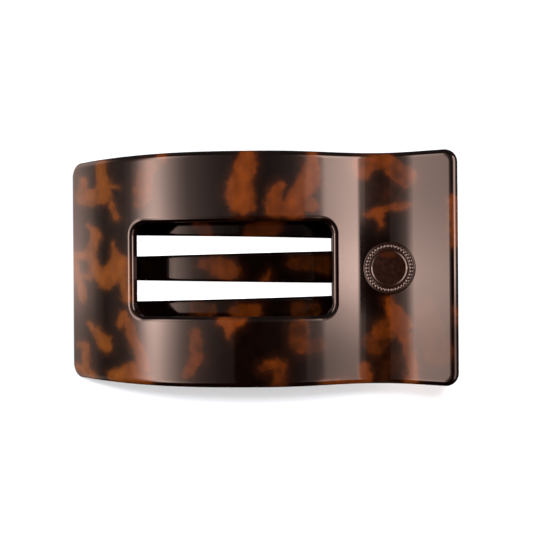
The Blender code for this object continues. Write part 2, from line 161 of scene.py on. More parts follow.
# How finely the shapes are divided.
STATION_SPACING = 0.8 * MM
STATION_TURN = 1.0
CORNER_STEPS = 12
RIM_STEPS = 6
LUG_ARC_STEPS = 36
LUG_EDGE_STEPS = 4
BORE_SIDES = 64
SEAT_SIDES = 128

# How close counts as the same place, as touching a known point, and as on a face.
SAME_PLACE = 1e-7
TOUCHING = 1e-6
FLAT = 2e-5
CREASE_ANGLE = 38.0
# A normal's part along the blank's own: less than the first on its walls (and less than the
# second on walls that are quite upright), and more than the third on its two faces.
WALL = 0.1
UPRIGHT_WALL = 0.02
FACE = 0.9
HALVINGS = 50


class Path:
    """A curve in the XZ plane made of arcs and straights, read by its length."""

    def __init__(self, start, pieces):
        self.pieces = []
        x, z, angle = start
        angle = math.radians(angle)
        travelled = 0.0
        for piece in pieces:
            if piece[0] == "line":
                length, turn = piece[1], 0.0
            else:
                turn = math.radians(piece[2]) - angle
                length = piece[1] * abs(turn)
            self.pieces.append((travelled, length, x, z, angle, turn))
            x, z = self._along(x, z, angle, turn, length, length)
            angle += turn
            travelled += length
        self.length = travelled

    @staticmethod
    def _along(x, z, angle, turn, length, distance):
        if turn == 0.0:
            return x + distance * math.cos(angle), z + distance * math.sin(angle)
        radius = length / turn
        now = angle + turn * distance / length
        new_x = x + radius * (math.sin(now) - math.sin(angle))
        new_z = z - radius * (math.cos(now) - math.cos(angle))
        return new_x, new_z

    def at(self, distance):
        """The point that far along, and the slope there in radians."""
        for start, length, x, z, angle, turn in reversed(self.pieces):
            if distance >= start or start == 0.0:
                here = distance - start
                px, pz = self._along(x, z, angle, turn, length, here)
                return px, pz, angle + turn * here / length

    def distance_where(self, is_before):
        """How far along a test of (x, z, slope) stops being true."""
        low, high = 0.0, self.length
        for _ in range(HALVINGS):
            middle = (low + high) / 2
            if is_before(*self.at(middle)):
                low = middle
            else:
                high = middle
        return (low + high) / 2

    def distance_at_x(self, x):
        return self.distance_where(lambda px, pz, slope: px < x)

    def offset(self, distance, height):
        x, z, slope = self.at(distance)
        return x - height * math.sin(slope), z + height * math.cos(slope)

    def locate(self, x, z):
        """The height of a point near the path off it, and the slope there."""

        def is_before(px, pz, slope):
            return (x - px) * math.cos(slope) + (z - pz) * math.sin(slope) > 0

        px, pz, slope = self.at(self.distance_where(is_before))
        return (z - pz) * math.cos(slope) - (x - px) * math.sin(slope), slope


plate_path = Path(PLATE_START, PLATE_PATH)
fork_path = Path(FORK_START, FORK_PATH)


def corner_inset(distance, radius):
    if distance >= radius:
        return 0.0
    return radius - math.sqrt(max(radius**2 - (radius - distance) ** 2, 0.0))


def corner_stations(end, radius, direction):
    angles = [math.pi / 2 * k / CORNER_STEPS for k in range(CORNER_STEPS + 1)]
    return [end + direction * radius * (1 - math.cos(a)) for a in angles]


def bending_stations(path):
    places = []
    for start, length, _, _, _, turn in path.pieces:
        by_turn = math.ceil(abs(math.degrees(turn)) / STATION_TURN)
        count = max(1, by_turn, math.ceil(length / STATION_SPACING))
        places += [start + length * k / count for k in range(count)]
    return places + [path.length]


def sheet_stations(path, corners, walls, reach):
    """The corners' places, and the bends' that are clear of them and of each wall's rounding."""
    kept = sorted({place for corner in corners for place in corner_stations(*corner)})
    for place in bending_stations(path):
        near_wall = any(abs(place - wall) < reach + STATION_SPACING / 4 for wall in walls)
        if not near_wall and all(abs(place - other) > STATION_SPACING / 2 for other in kept):
            kept.append(place)
    return sorted(kept)


def verts_between(column, low, high):
    return [v for y, v in column.items() if low - SAME_PLACE <= y <= high + SAME_PLACE]


def is_rim(edge):
    tilts = sorted(abs(face.normal.z) for face in edge.link_faces)
    return len(tilts) == 2 and tilts[0] < WALL and tilts[1] > FACE


def in_hole(edge, hole):
    low, high, half_width, _ = hole
    return all(
        low - SAME_PLACE <= v.co.x <= high + SAME_PLACE
        and abs(v.co.y) <= half_width + SAME_PLACE
        for v in edge.verts
    )


def blank_normal(vert, blank, stretch):
    """The exact outward direction once the blank is flattened: faces, upright walls, rims."""
    height = vert.co.z
    if abs(height) < SAME_PLACE:
        return Vector((0, 0, 1))
    if abs(height + blank) < SAME_PLACE:
        return Vector((0, 0, -1))
    normal = vert.normal.copy()
    if any(abs(face.normal.z) < UPRIGHT_WALL for face in vert.link_faces):
        normal.z = 0.0
    normal.z *= stretch
    return normal.normalized()


def round_rims(bm, edges, width, steps):
    bmesh.ops.bevel(bm, geom=edges, offset=width, segments=steps, profile=0.5, affect="EDGES")


def bent_sheet(path, stations, bands_between, thickness, edge, side_shift, hole=None):
    """A blank of bands, thickened, rounded and bent to a path, with its exact normals.

    The blank is rounded while thicker and then flattened, so the rounding is wider than deep.
    A hole is (low x, high x, half width, rounding), with x along the path.
    """
    edge_width, edge_depth = edge
    stretch = edge_width / edge_depth
    blank = thickness * stretch
    bm = bmesh.new()
    columns = [bands_between(a, b) for a, b in zip(stations, stations[1:])]
    across = [set() for _ in stations]
    for k, bands in enumerate(columns):
        for low, high, next_low, next_high in bands:
            across[k].update((round(low, 8), round(high, 8)))
            across[k + 1].update((round(next_low, 8), round(next_high, 8)))
    grid = [
        {y: bm.verts.new((place, y, 0.0)) for y in sorted(ys)}
        for place, ys in zip(stations, across)
    ]
    for k, bands in enumerate(columns):
        for low, high, next_low, next_high in bands:
            near = verts_between(grid[k], low, high)
            far = verts_between(grid[k + 1], next_low, next_high)
            bm.faces.new(near[::-1] + far)
    made = bmesh.ops.extrude_face_region(bm, geom=list(bm.faces))
    lowered = [g for g in made["geom"] if isinstance(g, bmesh.types.BMVert)]
    bmesh.ops.translate(bm, verts=lowered, vec=(0.0, 0.0, -blank))
    bmesh.ops.recalc_face_normals(bm, faces=bm.faces)
    rims = [e for e in bm.edges if is_rim(e)]
    inner = [e for e in rims if hole and in_hole(e, hole)]
    outer = [e for e in rims if e not in inner]
    for edges, width in ((outer, edge_width), (inner, hole[3] if hole else edge_width)):
        if edges:
            round_rims(bm, edges, width, RIM_STEPS)
    bm.normal_update()
    normals = []
    for vert in bm.verts:
        normal = blank_normal(vert, blank, stretch)
        slope = path.at(vert.co.x)[2]
        tilt = Matrix.Rotation(-slope, 3, "Y")
        x, z = path.offset(vert.co.x, vert.co.z / stretch)
        place = Vector((x, vert.co.y + side_shift, z))
        normals.append((place, tilt @ normal))
    for vert, (place, _) in zip(bm.verts, normals):
        vert.co = place
    return bm, normals


def plate_half_width(x):
    half = PLATE_HALF_WIDTH
    past = max(JAW_TAPER_FROM_X - x, 0.0) / JAW_TAPER_LENGTH
    half -= JAW_TAPER * past**2
    from_waist = min(abs(x - WAIST_X) / WAIST_REACH, 1.0)
    half -= WAIST_DEPTH * math.cos(from_waist * math.pi / 2) ** 2
    return half


def plate_sheet():
    left = plate_path.distance_at_x(WINDOW_LEFT_X)
    right = plate_path.distance_at_x(WINDOW_RIGHT_X)
    corners = (
        (0.0, PLATE_END_CORNER, 1),
        (plate_path.length, PLATE_TAB_CORNER, -1),
        (left, WINDOW_CORNER, 1),
        (right, WINDOW_CORNER, -1),
    )
    stations = sheet_stations(plate_path, corners, (left, right), WINDOW_EDGE_WIDTH)

    def outer(place):
        half = plate_half_width(plate_path.at(place)[0])
        half -= corner_inset(place, PLATE_END_CORNER)
        return half - corner_inset(plate_path.length - place, PLATE_TAB_CORNER)

    def window(place):
        inset = corner_inset(place - left, WINDOW_CORNER)
        return WINDOW_HALF_WIDTH - inset - corner_inset(right - place, WINDOW_CORNER)

    def bands(place, following):
        edge, next_edge = outer(place), outer(following)
        if following <= left or place >= right:
            return [(-edge, edge, -next_edge, next_edge)]
        hole, next_hole = window(place), window(following)
        return [
            (-edge, -hole, -next_edge, -next_hole),
            (hole, edge, next_hole, next_edge),
        ]

    edge = (PLATE_EDGE_WIDTH, PLATE_EDGE_DEPTH)
    hole = (left, right, WINDOW_HALF_WIDTH, WINDOW_EDGE_WIDTH)
    return bent_sheet(plate_path, stations, bands, PLATE_THICKNESS, edge, 0.0, hole)


def smooth_step(value):
    value = min(max(value, 0.0), 1.0)
    return value * value * (3 - 2 * value)


def fork_half_width(x):
    along = (x - FORK_START[0]) / (SLOT_NARROW_X - FORK_START[0])
    half = FORK_TIP_HALF_WIDTH + (FORK_HALF_WIDTH - FORK_TIP_HALF_WIDTH) * min(along, 1.0)
    tab = smooth_step((x - HINGE.x + TAB_WIDENS_BEFORE_HINGE) / TAB_WIDENS_OVER)
    return half + (FORK_TAB_HALF_WIDTH - FORK_HALF_WIDTH) * tab


def fork_sheet():
    slot_end = fork_path.distance_at_x(SLOT_NARROW_X)
    end_round = (SLOT_OUTER_AT_HINGE - SLOT_INNER_AT_HINGE) / 2
    middle = (SLOT_OUTER_AT_HINGE + SLOT_INNER_AT_HINGE) / 2
    corners = (
        (0.0, TINE_TIP_ROUND, 1),
        (0.0, OUTER_TINE_TIP_ROUND, 1),
        (slot_end, end_round, -1),
        (fork_path.length, FORK_TAB_CORNER, -1),
    )
    stations = sheet_stations(fork_path, corners, (slot_end,), FORK_EDGE_WIDTH)

    def outer(place):
        half = fork_half_width(fork_path.at(place)[0])
        half -= corner_inset(place, OUTER_TINE_TIP_ROUND)
        return half - corner_inset(fork_path.length - place, FORK_TAB_CORNER)

    def slot(place):
        """Where a slot starts and ends across the fork: its centre tine's edge and its side's."""
        before = SLOT_NARROW_X - fork_path.at(place)[0]
        tip = corner_inset(place, TINE_TIP_ROUND)
        closing = corner_inset(slot_end - place, end_round)
        centre = SLOT_INNER_AT_HINGE - SLOT_INNER_RISE * before
        side = SLOT_OUTER_AT_HINGE + SLOT_OUTER_FALL * before
        return min(centre - tip + closing, middle), max(side + tip - closing, middle)

    def bands(place, following):
        edge, next_edge = outer(place), outer(following)
        if place >= slot_end:
            return [(-edge, edge, -next_edge, next_edge)]
        centre, side = slot(place)
        next_centre, next_side = slot(following)
        return [
            (-edge, -side, -next_edge, -next_side),
            (-centre, centre, -next_centre, next_centre),
            (side, edge, next_side, next_edge),
        ]

    edge = (FORK_EDGE_WIDTH, FORK_EDGE_DEPTH)
    return bent_sheet(fork_path, stations, bands, FORK_THICKNESS, edge, FORK_SIDE_SHIFT)


def add_object(name, data):
    thing = bpy.data.objects.new(name, data)
    bpy.context.scene.collection.objects.link(thing)
    return thing


def new_object(name, bm, face_slot=0):
    """An object from a mesh made in place. Slot 0 marks a sheet's faces and 1 a feature's."""
    bmesh.ops.recalc_face_normals(bm, faces=bm.faces)
    mesh = bpy.data.meshes.new(name)
    bm.to_mesh(mesh)
    bm.free()
    for marker in ("sheet_faces", "feature_faces"):
        material = bpy.data.materials.get(marker) or bpy.data.materials.new(marker)
        mesh.materials.append(material)
    for polygon in mesh.polygons:
        polygon.material_index = face_slot
    mesh.shade_smooth()
    return add_object(name, mesh)


def apply_shape(thing, tool, operation):
    """Joins a shape to a thing or cuts it out, and then drops the shape."""
    step = thing.modifiers.new("shape", "BOOLEAN")
    step.operation = operation
    step.solver = "EXACT"
    step.object = tool
    bpy.context.view_layer.update()
    graph = bpy.context.evaluated_depsgraph_get()
    mesh = bpy.data.meshes.new_from_object(thing.evaluated_get(graph))
    thing.modifiers.clear()
    thing.data = mesh
    bpy.data.objects.remove(tool, do_unlink=True)


def set_normals(thing, path, thickness, known):
    """Gives a moulding its exact normals: its sheet's own, and plain ones on what was joined."""
    mesh = thing.data
    tree = KDTree(len(known))
    for index, (place, _) in enumerate(known):
        tree.insert(place, index)
    tree.balance()
    mesh.shade_smooth()
    mesh.set_sharp_from_angle(angle=math.radians(CREASE_ANGLE))
    corners = [corner.vector.copy() for corner in mesh.corner_normals]
    for polygon in mesh.polygons:
        if polygon.material_index != 0:
            continue
        for loop in polygon.loop_indices:
            place = mesh.vertices[mesh.loops[loop].vertex_index].co
            _, index, gap = tree.find(place)
            if gap < TOUCHING:
                corners[loop] = known[index][1]
                continue
            height, slope = path.locate(place.x, place.z)
            face = Vector((-math.sin(slope), 0.0, math.cos(slope)))
            if abs(height) < FLAT:
                corners[loop] = face
            elif abs(height + thickness) < FLAT:
                corners[loop] = -face
    mesh.normals_split_custom_set(corners)


def lug_pair(name, path, root_height, inner_y, side, middle_y):
    """Two rounded lugs about the pin's axis, rooted in a moulding above (1) or below (-1)."""
    ends = [
        path.offset(path.distance_at_x(HINGE.x + reach), root_height)
        for reach in (-LUG_ROOT_REACH, LUG_ROOT_REACH)
    ]
    outline = [ends[0]]
    for k in range(LUG_ARC_STEPS + 1):
        angle = math.pi + math.pi * k / LUG_ARC_STEPS
        x = HINGE.x + LUG_RADIUS * math.cos(angle)
        outline.append((x, HINGE.z + side * LUG_RADIUS * math.sin(angle)))
    outline.append(ends[1])
    bm = bmesh.new()
    for sign in (-1, 1):
        start = middle_y + sign * inner_y
        face = bm.faces.new([bm.verts.new((x, start, z)) for x, z in outline])
        made = bmesh.ops.extrude_face_region(bm, geom=[face])
        moved = [g for g in made["geom"] if isinstance(g, bmesh.types.BMVert)]
        bmesh.ops.translate(bm, verts=moved, vec=(0.0, sign * LUG_THICKNESS, 0.0))
    bmesh.ops.recalc_face_normals(bm, faces=bm.faces)
    rims = [
        e
        for e in bm.edges
        if sorted(abs(f.normal.y) > FACE for f in e.link_faces) == [False, True]
    ]
    round_rims(bm, rims, LUG_EDGE_ROUND, LUG_EDGE_STEPS)
    return new_object(name, bm, 1)


def turned(profile, segments, matrix):
    """A closed body turned about Z from (radius, height) points, both ends on the axis."""
    bm = bmesh.new()
    verts = [bm.verts.new((radius, 0.0, height)) for radius, height in profile]
    edges = [bm.edges.new(pair) for pair in zip(verts, verts[1:])]
    bmesh.ops.spin(
        bm,
        geom=verts + edges,
        cent=(0.0, 0.0, 0.0),
        axis=(0.0, 0.0, 1.0),
        angle=math.tau,
        steps=segments,
        use_merge=True,
    )
    bmesh.ops.remove_doubles(bm, verts=bm.verts, dist=TOUCHING)
    bmesh.ops.transform(bm, matrix=matrix, verts=bm.verts)
    return bm


def along_y():
    return Matrix.Translation(HINGE) @ Matrix.Rotation(-math.pi / 2, 4, "X")


def badge_matrix():
    x, z, slope = plate_path.at(plate_path.distance_at_x(BADGE_X))
    return Matrix.Translation((x, 0.0, z)) @ Matrix.Rotation(-slope, 4, "Y")


def round_tool(name, radius, low, high, sides, matrix):
    profile = [(0.0, low), (radius, low), (radius, high), (0.0, high)]
    return new_object(name, turned(profile, sides, matrix), 1)


def bore_tool(name, half_length):
    return round_tool(name, BORE_RADIUS, -half_length, half_length, BORE_SIDES, along_y())


def make_plate():
    bm, known = plate_sheet()
    plate = new_object("plate_moulding", bm)
    root = -LUG_ROOT_PART * PLATE_THICKNESS
    lugs = lug_pair("plate_lugs", plate_path, root, PLATE_LUG_INNER_Y, 1, 0.0)
    apply_shape(plate, lugs, "UNION")
    apply_shape(plate, bore_tool("plate_bore", PIN_HALF_SHANK), "DIFFERENCE")
    radius = BADGE_RADIUS + SEAT_GAP
    sizes = (radius, -BADGE_SEAT_DEPTH, SEAT_TOOL_TOP, SEAT_SIDES)
    apply_shape(plate, round_tool("badge_seat", *sizes, badge_matrix()), "DIFFERENCE")
    set_normals(plate, plate_path, PLATE_THICKNESS, known)
    return plate


def make_fork():
    bm, known = fork_sheet()
    fork = new_object("fork_moulding", bm)
    root = -LUG_ROOT_PART * FORK_THICKNESS
    lugs = lug_pair("fork_lugs", fork_path, root, FORK_LUG_INNER_Y, -1, FORK_SIDE_SHIFT)
    apply_shape(fork, lugs, "UNION")
    apply_shape(fork, bore_tool("fork_bore", PLATE_LUG_INNER_Y), "DIFFERENCE")
    set_normals(fork, fork_path, FORK_THICKNESS, known)
    return fork


# The pin's heads: a dimple in the spread one, the rounding of its rim, and the domed one's side.
DIMPLE_DEPTH = 0.12 * MM
DIMPLE_FLOOR_RADIUS = 0.5 * MM
DIMPLE_FLOOR_DEPTH = 0.1 * MM
DIMPLE_RADIUS = 0.8 * MM
SPREAD_ROUND = 0.6 * MM
HEAD_BEVEL = 0.05 * MM
DOME_SIDE = 0.15 * MM
HEAD_STEPS = 8
PIN_SIDES = 72


def make_pin():
    """A headed pin: a domed head at one end, and a spread, dimpled one at the other."""
    crown = PIN_HALF_SHANK + PIN_HEAD_HEIGHT
    profile = [
        (0.0, -crown + DIMPLE_DEPTH),
        (DIMPLE_FLOOR_RADIUS, -crown + DIMPLE_FLOOR_DEPTH),
        (DIMPLE_RADIUS, -crown),
    ]
    angles = [math.pi / 2 * k / HEAD_STEPS for k in range(HEAD_STEPS + 1)]
    for angle in angles:
        radius = PIN_HEAD_RADIUS - SPREAD_ROUND * (1 - math.sin(angle))
        profile.append((radius, -crown + SPREAD_ROUND * (1 - math.cos(angle))))
    profile += [
        (PIN_HEAD_RADIUS, -PIN_HALF_SHANK - HEAD_BEVEL),
        (PIN_HEAD_RADIUS - HEAD_BEVEL, -PIN_HALF_SHANK),
        (PIN_RADIUS, -PIN_HALF_SHANK),
        (PIN_RADIUS, PIN_HALF_SHANK),
        (PIN_HEAD_RADIUS - HEAD_BEVEL, PIN_HALF_SHANK),
        (PIN_HEAD_RADIUS, PIN_HALF_SHANK + HEAD_BEVEL),
    ]
    for angle in angles:
        radius = PIN_HEAD_RADIUS * math.cos(angle)
        lift = (PIN_HEAD_HEIGHT - DOME_SIDE) * math.sin(angle)
        profile.append((radius, PIN_HALF_SHANK + DOME_SIDE + lift))
    profile[-1] = (0.0, crown)
    pin = new_object("pin_turned", turned(profile, PIN_SIDES, along_y()))
    pin.data.set_sharp_from_angle(angle=math.radians(CREASE_ANGLE))
    return pin


# The badge's border of beads stands in a shallow channel, round a slightly dished middle.
BEADS = 40
BEAD_RADIUS = 0.37 * MM
BEAD_SLOPE = 0.40
CHANNEL_HALF_WIDTH = 0.52 * MM
CHANNEL_DEPTH = 0.10 * MM
CHANNEL_SIDE = 0.14 * MM
BADGE_EDGE_ROUND = 0.25 * MM
BADGE_BASE_BEVEL = 0.1 * MM
DISH_EDGE = 0.32 * MM
DISH_SLOPE = 0.40

# The badge's rings of points: coarse over the plain middle, and fine over its border.
MIDDLE_RINGS = 12
MIDDLE_RING_PARTS = 14
FINE_FROM = 0.5 * MM
FINE_SPACING = 0.045 * MM
FINE_RINGS = 49
FINE_TO_EDGE = 0.02 * MM
LAST_RING_INSET = 0.015 * MM
SIDES_PER_BEAD = 12
BADGE_CREASE_ANGLE = 50.0


def badge_relief(radius, angle):
    """Height of the badge's face over the plate: a ring of pointed beads and a dished middle."""
    outer = BADGE_RADIUS
    inner = BADGE_RADIUS - BADGE_RING_WIDTH
    height = BADGE_HEIGHT
    if radius > outer - BADGE_EDGE_ROUND:
        into = radius - outer + BADGE_EDGE_ROUND
        height -= BADGE_EDGE_ROUND - math.sqrt(max(BADGE_EDGE_ROUND**2 - into**2, 0.0))
    channel = (inner + outer) / 2
    away = abs(radius - channel)
    height -= CHANNEL_DEPTH * smooth_step((CHANNEL_HALF_WIDTH - away) / CHANNEL_SIDE)
    step = math.tau / BEADS
    off = (angle + step / 2) % step - step / 2
    reach = math.hypot(radius - channel, off * channel)
    height += BEAD_SLOPE * max(BEAD_RADIUS - reach, 0.0)
    return height - DISH_SLOPE * min(max(inner - radius, 0.0), DISH_EDGE)


def badge_point(bm, radius, angle, height):
    return bm.verts.new((radius * math.cos(angle), radius * math.sin(angle), height))


def make_badge():
    """A pressed-in disc with a beaded border. Its middle is plain."""
    floor = -BADGE_SEAT_DEPTH + BADGE_GAP
    inner = BADGE_RADIUS - BADGE_RING_WIDTH
    radii = [inner * (k / MIDDLE_RING_PARTS) for k in range(1, MIDDLE_RINGS + 1)]
    radii += [inner - FINE_FROM + FINE_SPACING * k for k in range(1, FINE_RINGS + 1)]
    radii = sorted({round(r, 7) for r in radii if r < BADGE_RADIUS - FINE_TO_EDGE})
    radii += [BADGE_RADIUS - LAST_RING_INSET, BADGE_RADIUS]
    segments = BEADS * SIDES_PER_BEAD
    angles = [math.tau * k / segments for k in range(segments)]
    bm = bmesh.new()
    rings = []
    for radius in radii:
        heights = [badge_relief(radius, a) for a in angles]
        rings.append([badge_point(bm, radius, a, h) for a, h in zip(angles, heights)])
    rings.append([badge_point(bm, BADGE_RADIUS, a, floor + BADGE_BASE_BEVEL) for a in angles])
    base = BADGE_RADIUS - BADGE_BASE_BEVEL
    rings.append([badge_point(bm, base, a, floor) for a in angles])
    top = bm.verts.new((0.0, 0.0, badge_relief(0.0, 0.0)))
    bottom = bm.verts.new((0.0, 0.0, floor))
    for k in range(segments):
        following = (k + 1) % segments
        bm.faces.new((top, rings[0][k], rings[0][following]))
        bm.faces.new((bottom, rings[-1][following], rings[-1][k]))
        for near, far in zip(rings, rings[1:]):
            bm.faces.new((near[k], far[k], far[following], near[following]))
    bmesh.ops.transform(bm, matrix=badge_matrix(), verts=bm.verts)
    badge = new_object("badge_disc", bm)
    badge.data.set_sharp_from_angle(angle=math.radians(BADGE_CREASE_ANGLE))
    return badge


LEG_STEPS = 24
FOOT_BEND_STEPS = 12
FOOT_STEPS = 5
STEPS_PER_TURN = 48
WIRE_SIDES = 16
CUT_END_LENGTH = 0.12 * MM
CUT_END_INSET = 0.14 * MM


def leg_points(slope, side, y, inward):
    """From the coil along a tab, then round a bend into a short foot across it."""
    angle = math.radians(slope)
    along = Vector((math.cos(angle), 0.0, math.sin(angle)))
    away = Vector((-math.sin(angle), 0.0, math.cos(angle))) * side
    across = Vector((0.0, inward, 0.0))
    start = Vector((HINGE.x, y, HINGE.z)) + away * COIL_RADIUS
    straight = LEG_LENGTH - FOOT_BEND
    points = [start + along * straight * k / LEG_STEPS for k in range(1, LEG_STEPS + 1)]
    centre = points[-1] + across * FOOT_BEND
    for k in range(1, FOOT_BEND_STEPS + 1):
        turn = math.pi / 2 * k / FOOT_BEND_STEPS
        points.append(centre + (along * math.sin(turn) - across * math.cos(turn)) * FOOT_BEND)
    foot = FOOT_LENGTH - FOOT_BEND - WIRE_RADIUS / 2
    points += [points[-1] + across * foot * k / FOOT_STEPS for k in range(1, FOOT_STEPS + 1)]
    return points


def spring_points():
    first = math.radians(90 + UPPER_LEG_SLOPE)
    last = math.radians(270 + LOWER_LEG_SLOPE + 360 * COIL_WHOLE_TURNS)
    half = COIL_PITCH * (last - first) / math.tau / 2
    steps = STEPS_PER_TURN * COIL_WHOLE_TURNS
    coil = []
    for k in range(steps + 1):
        turn = first + (last - first) * k / steps
        x = HINGE.x + COIL_RADIUS * math.cos(turn)
        z = HINGE.z + COIL_RADIUS * math.sin(turn)
        coil.append(Vector((x, -half + 2 * half * k / steps, z)))
    upper = leg_points(UPPER_LEG_SLOPE, 1, -half, 1)
    lower = leg_points(LOWER_LEG_SLOPE, -1, half, -1)
    return upper[::-1] + coil + lower


def make_spring():
    """A round wire swept along the spring's centreline, its cut ends slightly rounded."""
    points = spring_points()
    angles = [math.tau * n / WIRE_SIDES for n in range(WIRE_SIDES)]
    cut = WIRE_RADIUS - CUT_END_INSET
    bm = bmesh.new()
    rings = []
    count = len(points)
    tangent = (points[1] - points[0]).normalized()
    side = tangent.orthogonal().normalized()
    for k, point in enumerate(points):
        ahead = points[min(k + 1, count - 1)] - points[max(k - 1, 0)]
        tangent = ahead.normalized()
        side = (side - tangent * side.dot(tangent)).normalized()
        up = tangent.cross(side)
        places = [(point, WIRE_RADIUS)]
        if k == 0:
            places.insert(0, (point - tangent * CUT_END_LENGTH, cut))
        if k == count - 1:
            places.append((point + tangent * CUT_END_LENGTH, cut))
        for centre, radius in places:
            ring = [
                bm.verts.new(centre + (side * math.cos(a) + up * math.sin(a)) * radius)
                for a in angles
            ]
            rings.append(ring)
    for near, far in zip(rings, rings[1:]):
        for n in range(WIRE_SIDES):
            m = (n + 1) % WIRE_SIDES
            bm.faces.new((near[n], near[m], far[m], far[n]))
    bm.faces.new(rings[0][::-1])
    bm.faces.new(rings[-1])
    spring = new_object("spring_wire", bm)
    spring.data.set_sharp_from_angle(angle=math.radians(CREASE_ANGLE))
    return spring


# Materials.
NOISE_SPREAD = (0.3, 0.7)


class Nodes:
    """Short ways to add and join shader nodes."""

    def __init__(self, material):
        self.tree = material.node_tree
        self.tree.nodes.clear()

    def add(self, kind, **settings):
        node = self.tree.nodes.new(kind)
        for key, value in settings.items():
            setattr(node, key, value)
        return node

    def feed(self, socket, value):
        if isinstance(value, bpy.types.NodeSocket):
            self.tree.links.new(value, socket)
        else:
            socket.default_value = value

    def maths(self, operation, *values, clamp=False):
        node = self.add("ShaderNodeMath", operation=operation, use_clamp=clamp)
        for socket, value in zip(node.inputs, values):
            self.feed(socket, value)
        return node.outputs[0]

    def vector(self, operation, *values, scale=None):
        node = self.add("ShaderNodeVectorMath", operation=operation)
        for socket, value in zip(node.inputs, values):
            self.feed(socket, value)
        if scale is not None:
            self.feed(node.inputs["Scale"], scale)
        return node.outputs["Value" if operation in ("LENGTH", "DOT_PRODUCT") else "Vector"]

    def noise(self, vector, scale, detail=2.0, roughness=0.5, output="Fac"):
        node = self.add("ShaderNodeTexNoise")
        self.feed(node.inputs["Vector"], vector)
        node.inputs["Scale"].default_value = scale
        node.inputs["Detail"].default_value = detail
        node.inputs["Roughness"].default_value = roughness
        return node.outputs[output]

    def ramp(self, factor, stops):
        node = self.add("ShaderNodeValToRGB")
        ramp = node.color_ramp
        ramp.interpolation = "LINEAR"
        while len(ramp.elements) < len(stops):
            ramp.elements.new(0.5)
        for element, (position, colour) in zip(ramp.elements, stops):
            element.position = position
            element.color = (*colour, 1.0)
        self.feed(node.inputs["Fac"], factor)
        return node.outputs["Color"]

    def span(self, value, low, high, new_low, new_high, smooth=False):
        """Maps low..high to new_low..new_high, and holds the ends."""
        node = self.add("ShaderNodeMapRange")
        node.interpolation_type = "SMOOTHSTEP" if smooth else "LINEAR"
        self.feed(node.inputs["Value"], value)
        for socket, number in zip(node.inputs[1:5], (low, high, new_low, new_high)):
            socket.default_value = number
        return node.outputs["Result"]

    def mix(self, factor, a, b):
        node = self.add("ShaderNodeMix", data_type="RGBA", blend_type="MIX")
        self.feed(node.inputs["Factor"], factor)
        colours = [s for s in node.inputs if s.type == "RGBA"]
        self.feed(colours[0], a)
        self.feed(colours[1], b)
        return [s for s in node.outputs if s.type == "RGBA"][0]

    def noisy(self, noise, low, high):
        """A noise stretched over a range: most of its values lie in NOISE_SPREAD."""
        return self.span(noise, *NOISE_SPREAD, low, high)

    def bump(self, height, strength, distance):
        node = self.add("ShaderNodeBump")
        node.inputs["Strength"].default_value = strength
        node.inputs["Distance"].default_value = distance
        self.feed(node.inputs["Height"], height)
        return node.outputs["Normal"]

    def object_place(self):
        """The point on the object, in mm."""
        place = self.add("ShaderNodeTexCoord").outputs["Object"]
        return self.vector("SCALE", place, scale=1 / MM)

    def surface(self, **values):
        shader = self.add("ShaderNodeBsdfPrincipled")
        for name, value in values.items():
            self.feed(shader.inputs[name.replace("_", " ")], value)
        output = self.add("ShaderNodeOutputMaterial")
        self.tree.links.new(shader.outputs["BSDF"], output.inputs["Surface"])
        return shader


def start_material(name):
    material = bpy.data.materials.new(name)
    material.use_nodes = True
    return material, Nodes(material)


